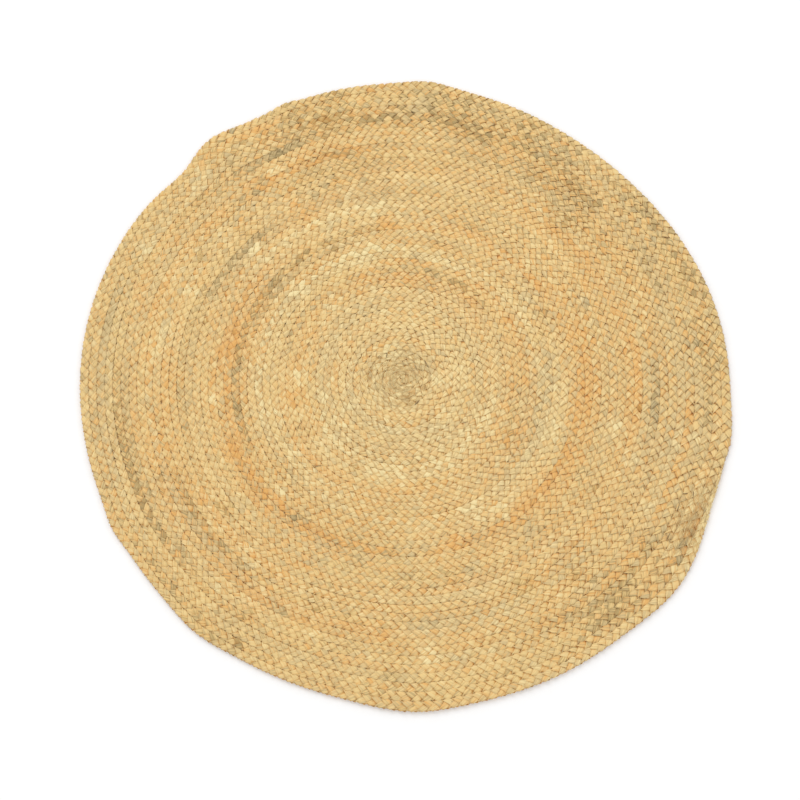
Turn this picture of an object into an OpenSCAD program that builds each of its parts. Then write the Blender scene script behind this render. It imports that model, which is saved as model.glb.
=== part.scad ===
// Round area rug: one long flat braid of three jute strands, coiled from the
// middle outwards and sewn edge to edge. Millimetres, +Z up. The origin is the
// middle of the coil, on the floor.

/* [Rug] */
// Distance across the finished rug
rug_d = 1200; // [900:50:1500]
// Turns of braid from the middle to the edge
turns = 42; // [30:1:46]
// Width of the braid at the edge, as a multiple of its width in the middle
braid_growth = 1.15; // [1:0.05:1.3]
// Thickness of the braid
braid_t = 9; // [8:0.5:12]
// Height of the braid's rounded top, above its full width
crown_t = 2.5; // [2:0.5:3.5]
// How far the rounded top steps in from each edge
crown_step = 1.8; // [1.5:0.1:2.5]
// Space left along the seam between one turn and the next
seam_gap = 0.2; // [0.1:0.1:0.4]

/* [Tail] */
// Direction in which the last full turn ends
end_dir = -35; // [-180:5:180]
// Angle over which the sewn-down tail tapers
tail_angle = 20; // [14:1:30]
// Width of the tail's tip, as a share of the braid
tail_tip = 0.4; // [0.3:0.05:0.6]
// Stitches that hold the tail's tip
tail_stitch_count = 4; // [2:1:6]

/* [Hand-sewn outline] */
// How far the outline is off the middle of the coil
shift = 9.5; // [0:0.5:12]
// Direction of that shift
shift_dir = 12; // [-180:1:180]
// Height of the oval wave
oval = 7; // [0:0.5:10]
// Direction in which the oval is longest
oval_dir = 147; // [0:1:180]

/* [Thread] */
// Width of the lacing thread's line of stitches
thread_w = 1.2; // [0.8:0.1:1.4]
// Thickness of the line of stitches
thread_t = 1; // [0.6:0.1:1.2]
// Separate lengths of thread, each tied off where the next begins
thread_lengths = 4; // [2:1:6]

/* [Hidden] */
// Waves in the outline: [crests, height, direction of a crest]
WAVES = [
    [1, shift, shift_dir],
    [2, oval, oval_dir],
    [3, 1.5, 102],
    [4, 3.2, 5],
    [5, 2.4, 14]
];
// Places where the edge bulges, or is drawn in: [direction, height, half width]
BULGES = [
    [85, 8, 5],
    [112, 5, 2.5],
    [128, 20, 6],
    [133, -11, 7.5],
    [208, 5, 4],
    [232, 6.5, 6.5],
    [272, 9, 8.5],
    [322, 12, 9],
    [349, 10, 6]
];
// The outline's waves die out towards the middle by this power of the radius
wave_power = 2.5;
// Bulges are felt only near the edge
bulge_power = 8;
// Furthest that a straight piece may leave the true curve
chord_error = 1.2;
// Turns that make up the solid eye of the coil
eye_turns = 2;
// Length, width and thickness of one tail stitch
stitch = [10, 1.2, 0.8];
// Share of the tail that is stitched, measured back from its tip
stitched_share = 0.5;
// Straight pieces along the tail
tail_steps = 8;

rug_r = rug_d / 2;
edge_turn = turns - 0.5;
inner_w = rug_r / (edge_turn + (braid_growth - 1) * edge_turn * edge_turn / (2 * turns));
tail_turns = tail_angle / 360;
shoulder_z = braid_t - crown_t;

jute = "#dcbf80";
jute_pale = "#e6d298";
jute_gold = "#d9ab68";
thread_cream = "#efe6cc";

function round_name(n) = str("braid_round_", n < 10 ? "0" : "", n);
function thread_name(i) = str("lacing_thread_", i);

// ---- the coil ----

function sum(v, i = 0) = i < len(v) ? v[i] + sum(v, i + 1) : 0;
function reversed(v) = [for (i = [len(v) - 1 : -1 : 0]) v[i]];
function polar(r, dir) = [r * cos(dir), r * sin(dir)];

// Angle between two directions, from 0 to 180
function apart(a, b) = acos(cos(a - b));

function wave(dir) = sum([for (w = WAVES) w[1] * cos(w[0] * (dir - w[2]))]);
function bulge(dir) = sum([for (b = BULGES) b[1] * exp(-pow(apart(dir, b[0]) / b[2], 2))]);

// Radius of the seam after u turns, on an even coil
function even_radius(u) = inner_w * (u + (braid_growth - 1) * u * u / (2 * turns));

// Radius of the seam after u turns, with the outline's waves and bulges
function seam_radius(u) =
    let (r = even_radius(u), share = r / rug_r, dir = end_dir + 360 * u)
    r + wave(dir) * pow(share, wave_power) + bulge(dir) * pow(share, bulge_power);

// Point on the seam after u turns, moved outwards by out
function seam_point(u, out = 0) = polar(seam_radius(u) + out, end_dir + 360 * u);

// Straight pieces in turn n of the seam
function pieces(n) = ceil(180 / acos(1 - chord_error / even_radius(n)));

// Points along turn n of the seam
function seam_turn(n, out) = [for (i = [0 : pieces(n)]) seam_point(n - 1 + i / pieces(n), out)];

// ---- the braid ----

// The braid in two layers: its full width, then its rounded top.
// outline(step_in) gives the outline with each edge stepped in that far.
module braid_layers(outline) {
    linear_extrude(shoulder_z)
        polygon(outline(seam_gap / 2));
    translate([0, 0, shoulder_z])
        linear_extrude(crown_t)
            polygon(outline(crown_step));
}

module coil_eye() {
    color(jute)
        braid_layers(function(step_in) seam_turn(eye_turns, -step_in));
}

module braid_round(n) {
    tone = n % 7 == 3 ? jute_gold : n % 5 == 1 ? jute_pale : jute;
    color(tone)
        braid_layers(function(step_in)
            concat(seam_turn(n, -step_in), reversed(seam_turn(n - 1, step_in))));
}

// Width of the tail, a share of the way along it
function tail_width(share) =
    let (full = seam_radius(turns) - seam_radius(turns - 1), taper = (1 - cos(180 * share)) / 2)
    full * (1 - (1 - tail_tip) * taper);

// How far the tail's rounded top steps in, at most a quarter of its width
function tail_step(share, step_in) = min(step_in, tail_width(share) / 4);

// Point a share of the way along the tail, out from the seam that it is sewn to
function tail_point(share, out) = seam_point(turns - 1 + share * tail_turns, out);

module braid_tail() {
    shares = [for (i = [0 : tail_steps]) i / tail_steps];
    color(jute)
        braid_layers(function(step_in)
            concat(
                [for (s = shares) tail_point(s, tail_width(s) - tail_step(s, step_in))],
                [for (s = reversed(shares)) tail_point(s, tail_step(s, step_in))]
            ));
}

// ---- the sewing ----

// Short stitches across the seam, that hold the tail's tip down
module tail_stitches() {
    color(thread_cream)
        for (i = [1 : tail_stitch_count]) {
            share = 1 - stitched_share * i / (tail_stitch_count + 1);
            translate(concat(tail_point(share, 0), braid_t))
                rotate(end_dir + share * tail_angle)
                    translate([-stitch.x / 2, -stitch.y / 2, 0])
                        cube(stitch);
        }
}

// One length of thread, laid in the groove of the seam
module lacing_thread(i) {
    seams = turns - 1 - eye_turns;
    first = eye_turns + 1 + round(seams * (i - 1) / thread_lengths);
    last = eye_turns + round(seams * i / thread_lengths);
    side = function(out) [for (n = [first : last]) for (p = seam_turn(n, out)) p];
    color(thread_cream)
        translate([0, 0, shoulder_z])
            linear_extrude(thread_t)
                polygon(concat(side(thread_w / 2), reversed(side(-thread_w / 2))));
}

coil_eye();
for (n = [eye_turns + 1 : turns])
    braid_round(n);
braid_tail();
tail_stitches();
for (i = [1 : thread_lengths])
    lacing_thread(i);
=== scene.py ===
"""Looks for the round jute rug, in metres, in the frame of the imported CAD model.

Each turn of the coil is three jute strands, braided one over the other. A thread laces each turn
to the next, stitches hold the tail down, and stray fibres stand out of the braid.
"""

import math

import bpy
import numpy as np
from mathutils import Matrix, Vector


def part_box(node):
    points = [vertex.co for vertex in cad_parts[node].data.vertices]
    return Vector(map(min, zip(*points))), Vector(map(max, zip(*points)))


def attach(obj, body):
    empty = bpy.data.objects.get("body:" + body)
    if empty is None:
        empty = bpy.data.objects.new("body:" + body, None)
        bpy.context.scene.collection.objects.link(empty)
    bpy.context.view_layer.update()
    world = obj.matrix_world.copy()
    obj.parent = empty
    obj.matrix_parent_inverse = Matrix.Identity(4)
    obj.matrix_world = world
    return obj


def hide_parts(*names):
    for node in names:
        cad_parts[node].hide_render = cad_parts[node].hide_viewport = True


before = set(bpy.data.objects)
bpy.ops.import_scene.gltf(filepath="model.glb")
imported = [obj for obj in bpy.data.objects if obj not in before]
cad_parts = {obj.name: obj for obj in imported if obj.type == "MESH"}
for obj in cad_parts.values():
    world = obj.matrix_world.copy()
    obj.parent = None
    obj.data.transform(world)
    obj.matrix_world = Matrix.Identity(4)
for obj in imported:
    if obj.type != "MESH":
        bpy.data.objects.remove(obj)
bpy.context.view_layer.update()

TAU = 2 * math.pi
SEED = 7

# ---- the coil, with the sizes that the CAD source has ----

RUG_R = 0.6
EYE_TURNS = 2
TURNS = EYE_TURNS + sum(name.startswith("braid_round_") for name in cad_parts)
BRAID_GROWTH = 1.15
BRAID_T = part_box("coil_eye")[1].z
END_DIR = math.radians(-35)
TAIL_TURNS = 20 / 360
TAIL_TIP = 0.4
WAVE_POWER = 2.5
BULGE_POWER = 8
# Waves in the outline: crests, height, direction of a crest in degrees
WAVES = ((1, 0.0095, 12), (2, 0.007, 147), (3, 0.0015, 102), (4, 0.0032, 5), (5, 0.0024, 14))
# Places where the edge bulges, or is drawn in: direction in degrees, height, half width in degrees
BULGES = (
    (85, 0.008, 5),
    (112, 0.005, 2.5),
    (128, 0.020, 6),
    (133, -0.011, 7.5),
    (208, 0.005, 4),
    (232, 0.0065, 6.5),
    (272, 0.009, 8.5),
    (322, 0.012, 9),
    (349, 0.010, 6),
)
EDGE_TURN = TURNS - 0.5
INNER_W = RUG_R / (EDGE_TURN + (BRAID_GROWTH - 1) * EDGE_TURN**2 / (2 * TURNS))

# ---- the braid ----

STRANDS = 3
COURSE_POINTS = 40000  # points at which the braid's course is measured
RINGS = 18  # cross-sections along one full weave of a strand
SIDES = 10  # corners round a strand

START_TURN = 0.5  # the braid starts here, folded in on itself
START_W = 0.85  # width of the braid at its start, as a share of its full width
START_SPAN = (0.4, 1.3)  # turns between which it grows to its full width
PITCH = 1.06  # from one crossing to the next on the same edge, as a share of the braid's width
STRAND_W = 0.86  # width of a strand, as a share of the braid's width
STRAND_T = 0.0034  # thickness of a strand
FULL_T_W = 0.0150  # strands are thinner where the braid is narrower than this
SQUARE = (0.80, 0.50)  # below 1, a strand's section is squarer: across it, and through it
LIFT = 0.0027  # how far a strand rises and dips as it crosses the others
FOLD = 2.6  # how sharply a strand folds over at the braid's edges
FOLD_SQUEEZE = 0.34  # share of a strand's width that is lost at that fold
FIBRE_APART = 100  # how far one strand's fibres are from the next one's, in the pattern of the jute

EDGE_SOFT = 0.0012  # depth over which a strand is pressed flat against the next turn
FACE_SOFT = 0.0009  # depth over which a strand is pressed flat on the rug's two faces
NESTING = 0.0019  # how far two turns' strands are pressed into each other at their seam
LOOSE_DIR = math.radians(185)  # the turns lie looser here, so their seams show
LOOSE = 0.38  # share of the nesting that is lost there
LOOSE_SPAN = (0.2, 0.8)  # cosines of the angle from that direction, from nothing to all of it
EDGE_ROOM = 0.0010  # how far the last turn's strands reach past its width, where no turn follows
EDGE_START = 0.95  # turns from the end of the last turn to where its outer edge is wholly free
SCALLOP = 0.0011  # how far the strands' folds stand out of a straight edge
EDGE_SCALLOP = 0.0013  # the same along the rug's outer edge

TIP_LOSS = 0.7  # share of the tail's width that is lost in its last stretch
TIP_SPAN = (0.8, 1.05)  # shares of the tail between which it is lost
TAIL_NESTING = 0.0014  # how far the tail's tip is sewn into the turn beside it
TUCK_SPAN = (0.3, 1)  # shares of the tail between which it is drawn in that far
TAIL_STAND = 2.5  # how much taller the tail's strands are, squeezed upright to its tip
TAIL_CLOSE = 0.75  # share of their swing that they lose there
CLOSE_SPAN = (0.25, 0.8)  # shares of the tail between which they are squeezed

# How uneven the braid is: how far a measure wanders, then the length of braid that it takes
UNEVEN_WEAVE = (0.07, 0.35)  # share of the weave's length
UNEVEN_NESTING = (0.8, 0.12)  # share of the nesting
UNEVEN_LEAN = (0.0005, 0.4)  # height of one edge above the middle
UNEVEN_RELIEF = (0.35, 0.25)  # share of the lift of all strands
UNEVEN_HEIGHT = (0.0003, 0.05)  # height of one strand
# The same for one strand, but over a number of petals. A petal runs from one fold to the next.
UNEVEN_T = (0.10, 1)
UNEVEN_W = (0.16, 0.8)
UNEVEN_REACH = (0.05, 0.7)
UNEVEN_LIFT = (0.20, 0.8)
UNEVEN_ROLL = (0.20, 0.9)  # angle
LUMPS = (0.16, 0.5)  # each corner's distance from the strand's middle

# Where the braid is matted: the outer turns are worn smooth beside the tail, and so is the eye
WORN_DIR = math.radians(-27)
WORN_HALF = math.radians(8)
WORN_TURNS = (4, 2)  # turns before the braid's end, from no wear to full wear
WORN_FORCE = 1.6  # how much more matted they are than the eye
EYE_MATTED = (1.5, 7)  # turns between which the eye's matting fades
MATTED_FLAT = 0.35  # share of the strands' lift that is lost where the braid is matted
MATTED_PAINTED_LIGHT = 0.9  # painted light: how much lighter the jute is painted there, to offset the shade that its crowded slivers cast
MATTED_CROWDING = 14  # how many times more slivers there are
MATTED_Z = (0.93, 1.01)  # height of those slivers, as a share of the braid's thickness

# ---- the tones of the jute ----

# How golden, how grey and how light a strand is: its usual value, how far that changes from one
# bunch of fibres to the next, the length of the longest bunch, and the change by the petal
TONES = ((0.30, 0.32, 0.6, 0.12), (0.25, 0.35, 0.5, 0.12), (0.0, 0.40, 0.7, 0.15))
SHORTEST_BUNCH = 0.05
MIDDLE_GREY = 0.10  # how much greyer the rug's middle is
MIDDLE_SPAN = (2, 10)  # turns between which that fades

# Patches where the jute is golden, grey or dark: the middle turn and how many turns the patch
# spreads to either side, then where on those turns it starts and ends, as shares of a turn,
# then how much more golden, greyer and lighter its strands are.
PATCHES = (
    (9.5, 5.5, 0.00, 1.00, -0.15, 0.0, 0.25),
    (39.5, 4.0, 0.00, 1.00, -0.12, 0.05, 0.0),
    (31.0, 3.0, 0.35, 0.43, 0.1, 0.0, -0.4),
    (21.5, 3.5, 0.43, 0.60, 0.15, 0.0, -0.25),
    (21.5, 3.5, 0.85, 1.10, 0.0, 0.0, 0.25),
    (24.3, 2.0, -0.10, 0.15, 0.45, 0.0, 0.0),
    (23.6, 1.0, 0.15, 0.33, 0.5, 0.0, 0.0),
    (23.8, 1.8, 0.49, 0.58, 0.8, 0.0, -0.1),
    (24.2, 1.2, 0.57, 0.80, 0.9, 0.0, -0.4),
    (23.6, 1.1, 0.78, 1.10, 0.4, 0.0, -0.3),
    (22.2, 0.8, 0.35, 0.67, 0.2, 0.2, -0.6),
    (33.4, 0.7, 0.37, 0.45, 0.6, 0.0, 0.0),
    (31.0, 0.8, 0.07, 0.35, 0.4, 0.0, 0.0),
    (30.5, 0.7, 0.55, 0.76, 0.3, 0.0, 0.1),
    (34.0, 0.8, 0.64, 0.83, 0.4, 0.0, 0.0),
    (28.0, 0.7, 0.88, 0.98, 0.5, 0.0, 0.0),
    (17.6, 0.8, -0.05, 0.20, 0.3, 0.0, 0.0),
    (15.2, 1.2, 0.18, 0.42, 0.4, 0.0, 0.0),
    (14.6, 1.0, 0.50, 0.68, 0.3, 0.0, 0.0),
    (16.3, 0.8, 0.68, 1.05, 0.3, 0.0, 0.0),
    (20.3, 1.2, -0.05, 0.15, 0.0, 0.5, 0.0),
    (19.8, 1.0, 0.36, 0.66, 0.0, 0.1, 0.5),
    (35.5, 1.0, 0.04, 0.15, 0.0, 0.4, 0.0),
    (40.0, 1.6, -0.05, 0.10, 0.0, 0.3, -0.6),
    (39.5, 1.3, 0.45, 0.66, 0.0, 0.4, 0.1),
    (29.0, 0.8, 0.29, 0.43, 0.0, 0.4, 0.0),
    (32.6, 0.8, 0.45, 0.61, 0.0, 0.3, 0.2),
    (32.5, 0.8, 0.84, 0.98, 0.0, 0.4, 0.0),
    (37.8, 0.8, 0.30, 0.37, 0.2, 0.3, -0.9),
    (37.5, 1.0, 0.37, 0.48, 0.2, 0.3, -0.9),
    (35.7, 2.6, 0.20, 0.31, 0.2, 0.2, -0.8),
    (37.0, 0.9, 0.60, 0.71, 0.1, 0.4, -0.7),
    (37.5, 2.2, 0.91, 1.01, 0.1, 0.1, -0.5),
    (37.0, 0.9, 0.15, 0.18, 0.0, 0.3, -0.8),
    (40.5, 1.2, 0.90, 1.04, 0.1, 0.1, -0.2),
    (40.0, 0.9, 0.930, 0.950, 0.0, 0.5, -0.5),
    (40.0, 0.9, 0.990, 1.010, 0.2, 0.0, -0.3),
    (35.0, 0.8, 0.963, 0.975, 0.0, 0.9, -0.9),
    (36.6, 0.5, 0.410, 0.430, 0.0, 1.4, -1.0),
    (33.3, 0.6, 0.05, 0.12, 0.0, 0.8, -0.6),
    (33.2, 0.7, 0.38, 0.47, 0.0, 0.2, -0.4),
    (33.0, 1.2, 0.67, 0.73, 0.0, 0.3, -0.5),
    (28.5, 0.7, 0.46, 0.53, 0.0, 0.6, -0.9),
    (32.8, 0.7, 0.79, 0.82, 0.0, 0.3, -0.7),
    (26.7, 0.5, 0.33, 0.38, 0.0, 0.3, -0.5),
    (28.8, 0.8, 0.55, 0.62, 0.0, 0.5, -0.4),
    (25.2, 1.0, 0.34, 0.50, 0.0, 0.0, 0.6),
    (18.8, 1.6, 0.12, 0.83, 0.0, 0.0, 0.3),
    (13.0, 1.5, 0.65, 1.05, 0.0, 0.1, 0.5),
    (16.5, 0.5, 0.22, 0.56, 0.0, 0.2, -0.8),
    (17.3, 0.5, 0.00, 0.15, 0.0, 0.1, -0.4),
    (31.0, 0.6, 0.48, 0.58, 0.0, 0.0, 0.6),
    (11.0, 1.6, 0.38, 0.56, 0.0, 0.4, 0.0),
    (8.0, 1.4, 0.62, 0.97, 0.0, 0.5, 0.0),
    (40.0, 3.0, 0.10, 0.42, 0.0, 0.1, -0.6),
    (40.0, 3.0, 0.42, 0.75, 0.0, 0.0, -0.3),
)
PATCH_FADE = 0.015  # share of a turn over which a patch starts and ends
PATCH_FORCE = (0.7, 0.8, 0.8)  # golden, grey and light
PATCH_UNEVEN = 0.9  # how unevenly a patch takes, from one stretch of a strand to the next
PATCH_STRETCH = (0.03, 0.12)  # shortest and longest such stretch
STAINS = 420
STAIN_SIZE = (0.005, 0.020)
STAIN_REACH = 6  # square of the distance, in sizes, beyond which a stain isn't felt
STAIN_CHANGE = (0.22, 0.30, 0.50)  # golden, grey and light


def even_radius(u):
    """Radius of the seam after u turns, on an even coil."""
    return INNER_W * (u + (BRAID_GROWTH - 1) * u * u / (2 * TURNS))


def seam_radius(u):
    """Radius of the seam after u turns, with the waves and bulges of a rug sewn by hand."""
    radius = even_radius(u)
    share = np.abs(radius) / RUG_R
    direction = END_DIR + TAU * u
    wave = sum(h * np.cos(n * (direction - math.radians(d))) for n, h, d in WAVES)
    bulge = 0
    for middle, height, half_width in BULGES:
        apart = np.arccos(np.cos(direction - math.radians(middle)))
        bulge = bulge + height * np.exp(-((apart / math.radians(half_width)) ** 2))
    return radius + wave * share**WAVE_POWER + bulge * share**BULGE_POWER


def wander(rng, x, step):
    """Smooth random values from -1 to 1, with a new one at each step along x."""
    values = rng.uniform(-1, 1, int(x.max() / step) + 3)
    cell = np.floor(x / step).astype(int)
    part = x / step - cell
    part = part * part * (3 - 2 * part)
    return values[cell] * (1 - part) + values[cell + 1] * part


def uneven(rng, x, amount):
    """Smooth random values along x. The amount is how far they reach, and the step they take."""
    reach, step = amount
    return reach * wander(rng, x, step)


def steps_of(rng, x, shortest, longest):
    """Random values from -1 to 1 that hold for a random length of x, then change at once."""
    ends = np.cumsum(rng.uniform(shortest, longest, int(x.max() / shortest) + 2))
    values = rng.uniform(-1, 1, len(ends))
    return values[np.searchsorted(ends, x)]


def smooth(x, low, high):
    """0 up to low and 1 from high on, with a smooth rise between."""
    part = np.clip((x - low) / (high - low), 0, 1)
    return part * part * (3 - 2 * part)


class Braid:
    """The whole braid's centreline, sampled at each cross-section of its strands."""

    def __init__(self, rng):
        fine = np.linspace(START_TURN, TURNS + TAIL_TURNS, COURSE_POINTS)
        centre, width, _ = self.course(fine)
        run = np.hypot(*np.diff(centre, axis=0).T)
        along = np.concatenate([[0], np.cumsum(run)])
        weave = STRANDS * PITCH * width * (1 + uneven(rng, along, UNEVEN_WEAVE))
        phase = np.concatenate([[0], np.cumsum(TAU * run / weave[1:])])
        self.phase = np.arange(0, phase[-1], TAU / RINGS)
        self.u = np.interp(self.phase, phase, fine)
        self.along = np.interp(self.phase, phase, along)
        self.weave = np.interp(self.phase, phase, weave)
        self.centre, self.width, self.tail = self.course(self.u)
        tangent = np.gradient(self.centre, axis=0)
        self.tangent = tangent / np.linalg.norm(tangent, axis=1, keepdims=True)
        self.outward = np.stack([self.tangent[:, 1], -self.tangent[:, 0]], axis=1)
        direction = END_DIR + TAU * self.u
        loose = LOOSE * smooth(np.cos(direction - LOOSE_DIR), *LOOSE_SPAN)
        nesting = NESTING * (1 - loose) * (1 + uneven(rng, self.along, UNEVEN_NESTING))
        self.inner_edge, self.outer_edge = self.edges(nesting)
        self.lean = uneven(rng, self.along, UNEVEN_LEAN)
        self.relief = 1 + uneven(rng, self.along, UNEVEN_RELIEF)
        self.patches = patches(self.u) + stains(rng, self.centre)
        self.matted = self.matting(direction)

    @staticmethod
    def course(u):
        """Points of the braid's centreline, its width there, and the share of the tail passed."""
        inner = seam_radius(u - 1)
        full = seam_radius(u) - inner
        tail = np.clip((u - TURNS) / TAIL_TURNS, 0, 1)
        taper = (1 - np.cos(math.pi * tail)) / 2
        width = full * (1 - (1 - TAIL_TIP) * taper) * (1 - TIP_LOSS * smooth(tail, *TIP_SPAN))
        radius = inner + width / 2 - TAIL_NESTING * smooth(tail, *TUCK_SPAN)
        direction = END_DIR + TAU * u
        centre = np.stack([radius * np.cos(direction), radius * np.sin(direction)], axis=1)
        start = smooth(u, *START_SPAN)
        return centre, width * (START_W + (1 - START_W) * start), tail

    def edges(self, nesting):
        """How far the strands may reach past the braid's width, at its inner and outer edge."""
        folds = np.cos(STRANDS * self.phase) * (1 - self.tail)
        free = smooth(self.u, TURNS - 1, TURNS - EDGE_START)
        outer = nesting + (EDGE_ROOM - nesting) * free
        outer_scallop = SCALLOP + (EDGE_SCALLOP - SCALLOP) * free
        return nesting - SCALLOP * folds, outer + outer_scallop * folds

    def matting(self, direction):
        """How matted the braid is, beside the tail and in the eye."""
        apart = np.arccos(np.cos(direction - WORN_DIR))
        wearing = smooth(self.u, *(TURNS - before for before in WORN_TURNS))
        worn = np.exp(-((apart / WORN_HALF) ** 2)) * wearing
        return np.maximum(WORN_FORCE * worn, 1 - smooth(self.u, *EYE_MATTED))

    def ring_at(self, u):
        """Number of the first cross-section from u turns on."""
        return int(np.searchsorted(self.u, u))


def patches(u):
    """How much more golden, greyer and lighter the jute is after u turns."""
    row = np.floor(u) + 0.5
    share = u - np.floor(u)
    total = np.zeros((len(u), 3))
    for turn, spread, first, last, *change in PATCHES:
        for whole in (-1, 0, 1):
            inside = smooth(share + whole, first - PATCH_FADE, first + PATCH_FADE)
            inside = inside * (1 - smooth(share + whole, last - PATCH_FADE, last + PATCH_FADE))
            near = np.exp(-(((row - whole - turn) / spread) ** 2))
            total += (inside * near)[:, None] * np.array(change)
    return total


def stains(rng, places):
    """The same three changes, in round stains that are scattered over the rug."""
    total = np.zeros((len(places), 3))
    for _ in range(STAINS):
        direction = rng.uniform(0, TAU)
        ray = np.array((math.cos(direction), math.sin(direction)))
        middle = RUG_R * math.sqrt(rng.random()) * ray
        size = rng.uniform(*STAIN_SIZE)
        away = np.sum((places - middle) ** 2, axis=1) / size**2
        near = np.nonzero(away < STAIN_REACH)[0]
        change = rng.normal(0, 1, 3) * STAIN_CHANGE
        total[near] += np.exp(-away[near])[:, None] * change
    return total


def power(x, exponent):
    """x to a power, with its sign kept."""
    return np.sign(x) * np.abs(x) ** exponent


def pressed(y, limit, soft):
    """y, pressed in smoothly where it would pass the limit on either side."""
    over = np.maximum(np.abs(y) - (limit - soft), 0)
    return np.sign(y) * (np.minimum(np.abs(y), limit - soft) + soft * np.tanh(over / soft))


def section_axes(braid, turn, reach, lift, roll):
    """Directions across a strand and through it, as shares along, across and above the braid."""
    ahead = braid.weave / TAU
    direction = np.stack([ahead, -reach * np.sin(turn), 2 * lift * np.cos(2 * turn)], axis=1)
    direction /= np.linalg.norm(direction, axis=1, keepdims=True)
    face = np.stack([np.zeros_like(roll), np.sin(roll), np.cos(roll)], axis=1)
    face -= direction * np.sum(face * direction, axis=1, keepdims=True)
    face /= np.linalg.norm(face, axis=1, keepdims=True)
    return np.cross(face, direction), face


def in_the_rug(braid, local, closed):
    """A strand's points in the rug, from their places along, across and above the braid. They are
    pressed against the turns beside them, and flat on the rug's two faces."""
    half = braid.width[:, None] / 2
    room = np.where(local[..., 1] > 0, braid.outer_edge[:, None], braid.inner_edge[:, None])
    sideways = pressed(local[..., 1], half + room, EDGE_SOFT)
    up = local[..., 2] + braid.lean[:, None] * sideways / half
    stand = 1 + TAIL_STAND * closed[:, None]
    up = BRAID_T / 2 + pressed((up - BRAID_T / 2) * stand, BRAID_T / 2, FACE_SOFT)
    plan = (
        braid.centre[:, None, :]
        + braid.tangent[:, None, :] * local[..., :1]
        + braid.outward[:, None, :] * sideways[..., None]
    )
    return np.concatenate([plan, up[..., None]], axis=2)


def strand(rng, braid, k):
    """Surface points of strand k over the whole braid, and the place and tone of its fibres."""
    turn = braid.phase + k * TAU / STRANDS
    petal = turn / math.pi
    closed = smooth(braid.tail, *CLOSE_SPAN)
    swing = 1 - TAIL_CLOSE * closed
    thick = STRAND_T * (1 + uneven(rng, petal, UNEVEN_T)) * np.minimum(braid.width / FULL_T_W, 1)
    wide = STRAND_W * braid.width * (1 + uneven(rng, petal, UNEVEN_W))
    wide = wide * (1 - FOLD_SQUEEZE * np.cos(turn) ** 2)
    reach = (braid.width - thick) / 2 * (1 + uneven(rng, petal, UNEVEN_REACH)) * swing
    lift = LIFT * (1 + uneven(rng, petal, UNEVEN_LIFT)) * swing
    lift = lift * braid.relief * (1 - MATTED_FLAT * braid.matted)
    middle = BRAID_T / 2 + uneven(rng, braid.along, UNEVEN_HEIGHT)
    roll = math.pi / 2 * (1 - np.tanh(FOLD * np.sin(turn)) / math.tanh(FOLD))
    roll = roll + uneven(rng, petal, UNEVEN_ROLL)
    side, face = section_axes(braid, turn, reach, lift, roll)

    corner = TAU * np.arange(SIDES) / SIDES
    lumps = 1 + np.stack([uneven(rng, petal, LUMPS) for _ in corner], axis=1)
    flat = power(np.cos(corner), SQUARE[0])[None, :] * wide[:, None] / 2 * lumps
    crown = power(np.sin(corner), SQUARE[1])[None, :] * thick[:, None] / 2 * lumps
    local = side[:, None, :] * flat[..., None] + face[:, None, :] * crown[..., None]
    local[..., 1] += (reach * np.cos(turn))[:, None]
    local[..., 2] += (middle + lift * np.sin(2 * turn))[:, None]

    run = np.repeat(braid.along[:, None], SIDES, axis=1) + FIBRE_APART * k
    fibre = np.stack([run, flat, crown], axis=2)
    return in_the_rug(braid, local, closed), fibre, tones(rng, braid, petal)


def tones(rng, braid, petal):
    """How golden, how grey and how light the jute is, at each cross-section of a strand."""
    along = braid.along
    own = []
    for usual, change, longest, by_petal in TONES:
        bunches = steps_of(rng, along, SHORTEST_BUNCH, longest)
        own.append(usual + change * bunches + by_petal * wander(rng, petal, 1))
    own[1] = own[1] + MIDDLE_GREY * (1 - smooth(braid.u, *MIDDLE_SPAN))
    # Painted light: the matted places are made lighter, to offset the shade that their crowded
    # slivers cast
    own[2] = own[2] + MATTED_PAINTED_LIGHT * np.clip(braid.matted, 0, 1)
    takes = 1 + PATCH_UNEVEN * steps_of(rng, along, *PATCH_STRETCH)
    return np.stack(own, axis=1) + PATCH_FORCE * braid.patches * takes[:, None]


def tube_faces(first, tubes, rings, sides):
    """Four-cornered faces along closed tubes, and one face over each of their ends."""
    ring = np.arange(rings - 1)
    corner = np.arange(sides)
    after = (corner + 1) % sides
    faces = []
    for number in range(tubes):
        start = first + number * rings * sides
        near = start + ring[:, None] * sides
        far = near + sides
        quads = np.stack([near + corner, near + after, far + after, far + corner], axis=2)
        faces += quads.reshape(-1, 4).tolist()
        faces.append((start + corner[::-1]).tolist())
        faces.append((start + (rings - 1) * sides + corner).tolist())
    return faces


def tube_object(name, groups, material):
    """A mesh object of tubes. Each group holds its tubes' points, and the place and the tone of
    their fibres, as arrays of tubes, rings, sides and three numbers."""
    faces = []
    first = 0
    for points, _, _ in groups:
        faces += tube_faces(first, *points.shape[:3])
        first += points.size // 3
    places, *layers = (np.concatenate([a.reshape(-1, 3) for a in layer]) for layer in zip(*groups))
    mesh = bpy.data.meshes.new(name)
    mesh.from_pydata(places, [], faces)
    mesh.shade_smooth()
    for label, values in zip(("fibre", "tone"), layers):
        layer = mesh.attributes.new(label, "FLOAT_VECTOR", "POINT")
        layer.data.foreach_set("vector", values.astype(np.float32).ravel())
    mesh.materials.append(material)
    made = bpy.data.objects.new(name, mesh)
    bpy.context.scene.collection.objects.link(made)
    return made


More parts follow.
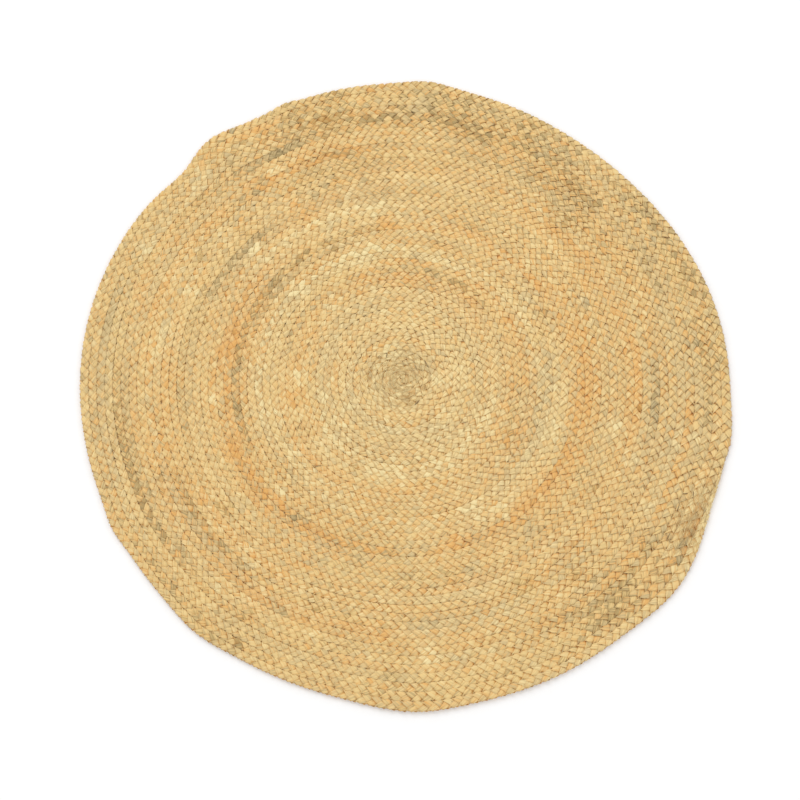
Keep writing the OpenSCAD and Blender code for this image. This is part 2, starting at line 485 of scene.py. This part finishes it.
def round_tube(path, radius, sides):
    """Corners of a round tube along a path, and the place of each corner on the thread."""
    direction = np.gradient(path, axis=0)
    direction /= np.linalg.norm(direction, axis=1, keepdims=True)
    across = np.cross(direction, (0.0, 0.0, 1.0))
    across /= np.linalg.norm(across, axis=1, keepdims=True)
    over = np.cross(across, direction)
    corner = TAU * np.arange(sides) / sides
    radius = np.broadcast_to(radius, len(path))[:, None, None]
    wide = np.cos(corner)[None, :, None] * radius
    high = np.sin(corner)[None, :, None] * radius
    points = path[:, None, :] + across[:, None, :] * wide + over[:, None, :] * high
    run = np.concatenate([[0], np.cumsum(np.linalg.norm(np.diff(path, axis=0), axis=1))])
    place = np.zeros_like(points)
    place[..., 0] = run[:, None]
    place[..., 1] = wide[..., 0]
    place[..., 2] = high[..., 0]
    return points, place


# ---- thin slivers of bark and fibre that have come up out of the strands ----

SLIVERS_PER_METRE = 230
SLIVER_RINGS = 7
SLIVER_SIDES = 4
SLIVER_R = (0.00010, 0.00034)
SLIVER_BLUNT = 1.02  # above 1, a sliver keeps some thickness at its ends
SLIVER_OFF = 0.0001  # how far a sliver is off its strand where the strand holds it
SLIVER_CURL = 0.0006  # usual distance by which its free ends curl away
HELD_AT = 0.8  # furthest place where it is held, from -1 to 1 along it
HELD_HALF = 0.4  # half the length that is held
SLIVER_DRIFT = (0.0012, 0.0012, 0.00024)  # how far its ends turn away from the strand's course
SLIVER_Z = (0.0010, BRAID_T + 0.0030)  # lowest and highest
SLIVER_UP = 0.2  # a sliver is left out where its strand faces up less than this
SLIVER_TONE = (0.7, 0.3, 0.9)  # how far it differs from its strand: golden, grey and light
SLIVER_APART = (200, 300)  # where its fibres are, in the pattern of the jute
BARK_SHARE = 0.006  # share of the slivers that are thick scraps of dark bark
BARK_R = (0.0005, 0.0009)
BARK_TONE = -6


def slivers(rng, braid, rings, points, tone):
    """Slivers that run along the strands of one piece, with their ends a little off them. The
    strands' points and tones are given for the piece's own cross-sections, the rings."""
    matted = np.clip(braid.matted[rings], 0, 1)
    crowding = 1 + MATTED_CROWDING * matted[:-SLIVER_RINGS]
    count = int(SLIVERS_PER_METRE * np.ptp(braid.along[rings]) * crowding.mean())
    k = rng.integers(0, STRANDS, count)
    start = rng.choice(len(crowding), count, p=crowding / crowding.sum())
    corner = rng.integers(0, SIDES, count)
    place = (k[:, None], start[:, None] + np.arange(SLIVER_RINGS), corner[:, None])
    path = points[place]
    away = path - points.mean(axis=2)[place[:2]]
    away /= np.linalg.norm(away, axis=2, keepdims=True)
    along = np.linspace(-1, 1, SLIVER_RINGS)
    held = rng.uniform(-HELD_AT, HELD_AT, (count, 1))
    free = np.clip(np.abs(along - held) - HELD_HALF, 0, None) ** 2
    off = SLIVER_OFF + rng.exponential(SLIVER_CURL, (count, 1)) * free
    path = path + away * off[..., None]
    path = laid_straight(rng, braid, rings, path, start, matted)
    path = path + rng.normal(0, 1, (count, 1, 3)) * SLIVER_DRIFT * along[None, :, None]
    shows = away[:, SLIVER_RINGS // 2, 2] > SLIVER_UP
    path[..., 2] = np.clip(path[..., 2], *SLIVER_Z)
    path = path[shows]
    thin = np.sqrt(SLIVER_BLUNT - along**2)
    radius = rng.uniform(*SLIVER_R, len(path))
    bark = rng.random(len(path)) < BARK_SHARE
    radius[bark] = rng.uniform(*BARK_R, bark.sum())
    change = rng.normal(0, 1, (len(path), 1, 3)) * SLIVER_TONE
    change[bark, 0, 2] = BARK_TONE
    tubes = [round_tube(p, r * thin, SLIVER_SIDES) for p, r in zip(path, radius)]
    tube_points, tube_fibre = map(np.stack, zip(*tubes))
    tube_fibre[..., 0] += rng.uniform(*SLIVER_APART, (len(path), 1, 1))
    tube_tone = tone[place][shows] + change
    return tube_points, tube_fibre, np.repeat(tube_tone[:, :, None, :], SLIVER_SIDES, axis=2)


def laid_straight(rng, braid, rings, path, start, matted):
    """The slivers' paths, turned to run with the coil and on top of it where it is matted."""
    middle = SLIVER_RINGS // 2
    ring = start[:, None] + np.arange(SLIVER_RINGS)
    centre = braid.centre[rings]
    outward = braid.outward[rings]
    off_centre = path[:, middle, :2] - centre[ring[:, middle]]
    aside = np.sum(off_centre * outward[ring[:, middle]], axis=1)
    plan = centre[ring] + outward[ring] * aside[:, None, None]
    top = np.maximum(path[:, middle, 2], BRAID_T * rng.uniform(*MATTED_Z, len(path)))
    height = np.repeat(top[:, None, None], SLIVER_RINGS, axis=1)
    share = (rng.random(len(path)) < matted[ring[:, middle]])[:, None, None]
    return np.where(share, np.concatenate([plan, height], axis=2), path)


def make_braid(material):
    """A piece for the eye, for each further turn and for the tail, with its strands and slivers."""
    rng = np.random.default_rng(SEED)
    braid = Braid(rng)
    strands = [strand(rng, braid, k) for k in range(STRANDS)]
    points, fibre, tone = map(np.stack, zip(*strands))
    tone = np.repeat(tone[:, :, None, :], SIDES, axis=2)
    parts = [("coil_eye", START_TURN, EYE_TURNS)]
    parts += [(f"braid_round_{n:02d}", n - 1, n) for n in range(EYE_TURNS + 1, TURNS + 1)]
    parts += [("braid_tail", TURNS, TURNS + TAIL_TURNS)]
    for node, first, last in parts:
        rings = slice(braid.ring_at(first), braid.ring_at(last) + 1)
        woven = (points[:, rings], fibre[:, rings], tone[:, rings])
        loose = slivers(rng, braid, rings, points[:, rings], tone[:, rings])
        name = node.replace("braid", "woven").replace("coil", "woven")
        piece = tube_object(name, [woven, loose], material)
        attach(piece, "root")
        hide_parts(node)


# ---- the sewing ----

THREAD_LENGTHS = sum(name.startswith("lacing_thread_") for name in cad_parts)
THREAD_R = 0.00045
LACE = 0.014  # from one lacing stitch to the next
LACE_REACH = 0.0022  # how far a lacing stitch runs to either side of the seam
LACE_Z = 0.0058
LACE_RISE = 0.0010  # how far the thread rises and dips on its way
LACE_POINTS = 6  # points along one lacing stitch
SEAM_POINTS = 1500  # points at which one turn of the seam is measured
THREAD_SIDES = 6
TAIL_STITCHES = 4
STITCHED_SHARE = 0.5  # share of the tail that is stitched, measured back from its tip
STITCH_L = 0.010
STITCH_DROP = 0.0022  # how far a stitch's ends go down into the braid
STITCH_POINTS = 9


def lace_path(first, last):
    """A thread's path in the seam from one turn to another, zigzag between the two braids."""
    fine = np.linspace(first, last, int(SEAM_POINTS * (last - first)))
    radius = seam_radius(fine)
    direction = END_DIR + TAU * fine
    run = np.hypot(np.diff(radius * np.cos(direction)), np.diff(radius * np.sin(direction)))
    along = np.concatenate([[0], np.cumsum(run)])
    place = np.arange(0, along[-1], LACE / LACE_POINTS)
    u = np.interp(place, along, fine)
    swing = TAU * place / LACE
    radius = seam_radius(u) + LACE_REACH * np.sin(swing)
    height = LACE_Z + LACE_RISE * np.cos(2 * swing)
    direction = END_DIR + TAU * u
    return np.stack([radius * np.cos(direction), radius * np.sin(direction), height], axis=1)


def make_lacing(material):
    """A piece for each length of thread, in its share of the seams."""
    seams = TURNS - 1 - EYE_TURNS
    for number in range(1, THREAD_LENGTHS + 1):
        first = EYE_TURNS + round(seams * (number - 1) / THREAD_LENGTHS)
        last = EYE_TURNS + round(seams * number / THREAD_LENGTHS)
        points, place = round_tube(lace_path(first, last), THREAD_R, THREAD_SIDES)
        name = f"lacing_thread_{number}"
        group = (points[None], place[None], np.zeros_like(place)[None])
        piece = tube_object(name.replace("thread", "stitches"), [group], material)
        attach(piece, "root")
        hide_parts(name)


def tail_stitch_path(share):
    """One stitch over the tail, from the last turn to the tail's own far edge."""
    u = TURNS - 1 + share * TAIL_TURNS
    direction = END_DIR + TAU * u
    out = np.linspace(-0.5, 0.5, STITCH_POINTS)
    radius = seam_radius(u) + STITCH_L * out
    height = BRAID_T + THREAD_R - STITCH_DROP * (2 * np.abs(out)) ** 3
    return np.stack([radius * np.cos(direction), radius * np.sin(direction), height], axis=1)


def make_tail_stitches(material):
    shares = [1 - STITCHED_SHARE * i / (TAIL_STITCHES + 1) for i in range(1, TAIL_STITCHES + 1)]
    tubes = [round_tube(tail_stitch_path(share), THREAD_R, THREAD_SIDES) for share in shares]
    points, place = map(np.stack, zip(*tubes))
    piece = tube_object("tail_stitching", [(points, place, np.zeros_like(place))], material)
    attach(piece, "root")
    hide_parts("tail_stitches")


# ---- materials ----


class Nodes:
    """Short calls for making shader nodes in one material."""

    # Which sockets of a Mix node are its two colours and its mixed colour
    MIX_COLOURS = (6, 7)
    MIXED_COLOUR = 2

    def __init__(self, name):
        self.material = bpy.data.materials.new(name)
        self.material.use_nodes = True
        self.tree = self.material.node_tree
        self.shader = self.tree.nodes["Principled BSDF"]

    def add(self, kind, settings=None, **sockets):
        node = self.tree.nodes.new(kind)
        for key, value in (settings or {}).items():
            setattr(node, key, value)
        for key, value in sockets.items():
            self.put(node.inputs[key.replace("_", " ")], value)
        return node

    def put(self, socket, value):
        if isinstance(value, bpy.types.NodeSocket):
            self.tree.links.new(value, socket)
        else:
            socket.default_value = value

    def math(self, operation, first, second):
        node = self.add("ShaderNodeMath", {"operation": operation})
        self.put(node.inputs[0], first)
        self.put(node.inputs[1], second)
        return node.outputs[0]

    def mix(self, share, first, second, blend="MIX"):
        node = self.add("ShaderNodeMix", {"data_type": "RGBA", "blend_type": blend})
        self.put(node.inputs[0], share)
        for socket, shade in zip(self.MIX_COLOURS, (first, second)):
            self.put(node.inputs[socket], shade)
        return node.outputs[self.MIXED_COLOUR]

    def ramp(self, value, low, high, at_low=0.0, at_high=1.0):
        """A smooth change with the value: at_low until it is low, and at_high once it is high."""
        node = self.add("ShaderNodeMapRange", {"interpolation_type": "SMOOTHSTEP"})
        for socket, number in zip(node.inputs, (value, low, high, at_low, at_high)):
            self.put(socket, number)
        return node.outputs[0]

    def noise(self, place, scale, detail=3.0):
        """Noise from 0 to 1, with its own scale along each axis of the place."""
        mapping = self.add("ShaderNodeMapping", Vector=place, Scale=scale).outputs[0]
        noise = self.add("ShaderNodeTexNoise", Vector=mapping, Scale=1.0, Detail=detail)
        return noise.outputs[0]

    def attribute(self, name):
        """What a mesh holds under that name, at each of its points."""
        return self.add("ShaderNodeAttribute", {"attribute_name": name}).outputs["Vector"]


def colour(red, green, blue):
    """A colour for a socket, from 0 to 255 sRGB values."""
    linear = [((c / 255 + 0.055) / 1.055) ** 2.4 for c in (red, green, blue)]
    return (*linear, 1.0)


STRAW = colour(227, 195, 132)
GOLD = colour(224, 170, 96)
ASH = colour(207, 182, 131)
STAINED = colour(166, 150, 112)
PALE = colour(236, 216, 161)
DULL = colour(205, 199, 182)
DARK_BARK = colour(104, 76, 48)
# Painted shade, multiplied into the jute deep between the strands where shade falls
CREVICE_SHADE = colour(233, 198, 144)
THREAD_DARK = colour(190, 162, 108)
THREAD_PALE = colour(222, 200, 150)
FLOOR_DARK = colour(243, 243, 243)
FLOOR_PALE = colour(246, 246, 246)

# Noise: how many times it changes in a metre, along a strand, across it and through it
BUNDLES = (45, 900, 900)
THREADS = (140, 3600, 3600)
STREAKS = (50, 310, 310)
STRIPES = (37, 420, 420)
FLECKS = (110, 420, 420)
COTTON = (300, 2500, 2500)
FLOOR_GRAIN = (40, 40, 40)
PLIES = 500.0  # twists of the sewing thread in a metre

# Ramps: the two values between which a look changes, then how strong it is at each of them
STREAK_GOLD = (0.3, 0.7, -0.35, 0.35)  # golden tone, by the streaks' noise
STRIPE_GREY = (0.3, 0.7, -0.35, 0.35)  # grey tone, by the stripes' noise
STRIPE_LIGHT = (0.35, 0.65, 0.5, -0.5)  # light tone, by the same noise
GOLD_BY_TONE = (0, 1)
ASH_BY_TONE = (0, 1)
STAINED_BY_GREY = (0.9, 2, 0, 0.9)
PALE_BY_LIGHT = (0, 1.5)
DULL_BY_LIGHT = (-0.2, -1.6, 0, 0.9)
BARK_BY_LIGHT = (-4, -5, 0, 0.75)
DARK_LINES = (0.38, 0.62, 0.91, 1.02)  # shade of grey, by the bundles' noise
PALE_THREADS = (0.5, 0.75, 0, 0.25)
BARK_FLECKS = (0.76, 0.80, 0, 0.7)
CREVICE_SHADE_RAMP = (0.0006, 0.0030, 1, 0)  # painted shade, by the height from the middle of the braid: strongest deep between the strands
JUTE_ROUGHNESS = (0.3, 0.7, 0.95, 0.75)
COTTON_ROUGHNESS = (0.3, 0.7, 0.7, 0.9)

LINE_SHARE = 0.8  # how strongly the dark lines show
JUTE_RELIEF = 0.0005  # height of the fibres' relief
PLY_RELIEF = 0.0002  # height of the plies' relief


def jute_tones(n, fibre):
    """How golden, how grey and how light the jute is, with streaks and stripes along it."""
    tone = n.add("ShaderNodeSeparateXYZ", Vector=n.attribute("tone")).outputs
    streaks = n.noise(fibre, STREAKS, 2.0)
    stripes = n.noise(fibre, STRIPES, 2.0)
    gold = n.math("ADD", tone[0], n.ramp(streaks, *STREAK_GOLD))
    grey = n.math("ADD", tone[1], n.ramp(stripes, *STRIPE_GREY))
    light = n.math("ADD", tone[2], n.ramp(stripes, *STRIPE_LIGHT))
    return gold, grey, light


def jute_shade(n, gold, grey, light):
    """The colour for those tones: straw, then golden or grey, then paler, duller or bark."""
    shade = n.mix(n.ramp(gold, *GOLD_BY_TONE), STRAW, GOLD)
    shade = n.mix(n.ramp(grey, *ASH_BY_TONE), shade, ASH)
    shade = n.mix(n.ramp(grey, *STAINED_BY_GREY), shade, STAINED)
    shade = n.mix(n.ramp(light, *PALE_BY_LIGHT), shade, PALE)
    shade = n.mix(n.ramp(light, *DULL_BY_LIGHT), shade, DULL, "MULTIPLY")
    return n.mix(n.ramp(light, *BARK_BY_LIGHT), shade, DARK_BARK)


def with_fibres(n, shade, fibre, bundles, threads):
    """The colour with fine dark lines and pale threads along the fibres, and flecks of bark."""
    lines = n.ramp(bundles, *DARK_LINES)
    grey = n.add("ShaderNodeCombineColor", Red=lines, Green=lines, Blue=lines).outputs[0]
    shade = n.mix(LINE_SHARE, shade, grey, "MULTIPLY")
    shade = n.mix(n.ramp(threads, *PALE_THREADS), shade, PALE)
    flecks = n.noise(fibre, FLECKS, 1.0)
    return n.mix(n.ramp(flecks, *BARK_FLECKS), shade, DARK_BARK)


def with_painted_crevice_shade(n, shade):
    """Painted shade: the colour, warmer and darker deep between the strands, where shade falls."""
    place = n.add("ShaderNodeTexCoord").outputs["Object"]
    height = n.add("ShaderNodeSeparateXYZ", Vector=place).outputs["Z"]
    from_middle = n.math("ABSOLUTE", n.math("SUBTRACT", height, BRAID_T / 2), 0.0)
    return n.mix(n.ramp(from_middle, *CREVICE_SHADE_RAMP), shade, CREVICE_SHADE, "MULTIPLY")


def jute_material():
    n = Nodes("raw_jute")
    fibre = n.attribute("fibre")
    bundles = n.noise(fibre, BUNDLES)
    threads = n.noise(fibre, THREADS, 2.0)
    shade = jute_shade(n, *jute_tones(n, fibre))
    shade = with_fibres(n, shade, fibre, bundles, threads)
    relief = n.math("ADD", n.math("MULTIPLY", bundles, 0.7), n.math("MULTIPLY", threads, 0.3))
    bump = n.add("ShaderNodeBump", Strength=0.5, Distance=JUTE_RELIEF, Height=relief)
    n.put(n.shader.inputs["Base Color"], with_painted_crevice_shade(n, shade))
    n.put(n.shader.inputs["Roughness"], n.ramp(bundles, *JUTE_ROUGHNESS))
    n.put(n.shader.inputs["Normal"], bump.outputs[0])
    n.shader.inputs["Specular IOR Level"].default_value = 0.25
    n.shader.inputs["Sheen Weight"].default_value = 0.15
    n.shader.inputs["Sheen Roughness"].default_value = 0.6
    return n.material


def thread_material():
    n = Nodes("sewing_thread")
    fibre = n.attribute("fibre")
    plies = n.add("ShaderNodeTexWave", {"bands_direction": "DIAGONAL"}, Vector=fibre, Scale=PLIES)
    cotton = n.noise(fibre, COTTON)
    n.put(n.shader.inputs["Base Color"], n.mix(cotton, THREAD_DARK, THREAD_PALE))
    n.put(n.shader.inputs["Roughness"], n.ramp(cotton, *COTTON_ROUGHNESS))
    bump = n.add("ShaderNodeBump", Strength=0.6, Distance=PLY_RELIEF, Height=plies.outputs[1])
    n.put(n.shader.inputs["Normal"], bump.outputs[0])
    n.shader.inputs["Sheen Weight"].default_value = 0.1
    return n.material


def floor_material():
    n = Nodes("pale_floor")
    grain = n.noise(n.add("ShaderNodeTexCoord").outputs["Object"], FLOOR_GRAIN, 4.0)
    n.put(n.shader.inputs["Base Color"], n.mix(grain, FLOOR_DARK, FLOOR_PALE))
    n.shader.inputs["Roughness"].default_value = 0.9
    n.shader.inputs["Specular IOR Level"].default_value = 0.1
    return n.material


# ---- studio ----

FLOOR_HALF = 40
FLOOR_Z = -0.0002  # just under the rug
CAMERA_TILT = math.radians(16)  # off the vertical
CAMERA_FAR = 3.317  # from the point that the camera looks at
LOOK_AT = Vector((-0.002, -0.037, 0))
LENS = 80.4  # millimetres, and so is the sensor
SENSOR_W = 36
CLIP_END = 100
KEY_PLACE = Vector((-2.0, 4.5, 5.8))
KEY_SIZE = 4.5
KEY_WATTS = 150
WORLD_STRENGTH = 0.97  # of the even light from all round


def make_floor():
    signs = ((-1, -1), (1, -1), (1, 1), (-1, 1))
    corners = [(x * FLOOR_HALF, y * FLOOR_HALF, FLOOR_Z) for x, y in signs]
    mesh = bpy.data.meshes.new("studio_floor")
    mesh.from_pydata(corners, [], [(0, 1, 2, 3)])
    mesh.materials.append(floor_material())
    made = bpy.data.objects.new("studio_floor", mesh)
    bpy.context.scene.collection.objects.link(made)


def aim(thing, target):
    thing.rotation_euler = (target - thing.location).to_track_quat("-Z", "Y").to_euler()


def make_camera():
    data = bpy.data.cameras.new("camera")
    data.lens = LENS
    data.sensor_width = SENSOR_W
    data.clip_end = CLIP_END
    camera = bpy.data.objects.new("camera", data)
    backwards = Vector((0, -math.sin(CAMERA_TILT), math.cos(CAMERA_TILT)))
    camera.location = LOOK_AT + CAMERA_FAR * backwards
    aim(camera, LOOK_AT)
    bpy.context.scene.collection.objects.link(camera)
    bpy.context.scene.camera = camera


def make_key_light():
    data = bpy.data.lights.new("key_light", "AREA")
    data.size = KEY_SIZE
    data.energy = KEY_WATTS
    light = bpy.data.objects.new("key_light", data)
    light.location = KEY_PLACE
    aim(light, Vector((0, 0, 0)))
    bpy.context.scene.collection.objects.link(light)


def make_world():
    world = bpy.data.worlds.new("studio")
    world.use_nodes = True
    background = world.node_tree.nodes["Background"]
    background.inputs["Color"].default_value = (1, 1, 1, 1)
    background.inputs["Strength"].default_value = WORLD_STRENGTH
    bpy.context.scene.world = world
    bpy.context.scene.view_settings.view_transform = "Standard"


make_braid(jute_material())
thread = thread_material()
make_lacing(thread)
make_tail_stitches(thread)
make_floor()
make_camera()
make_key_light()
make_world()
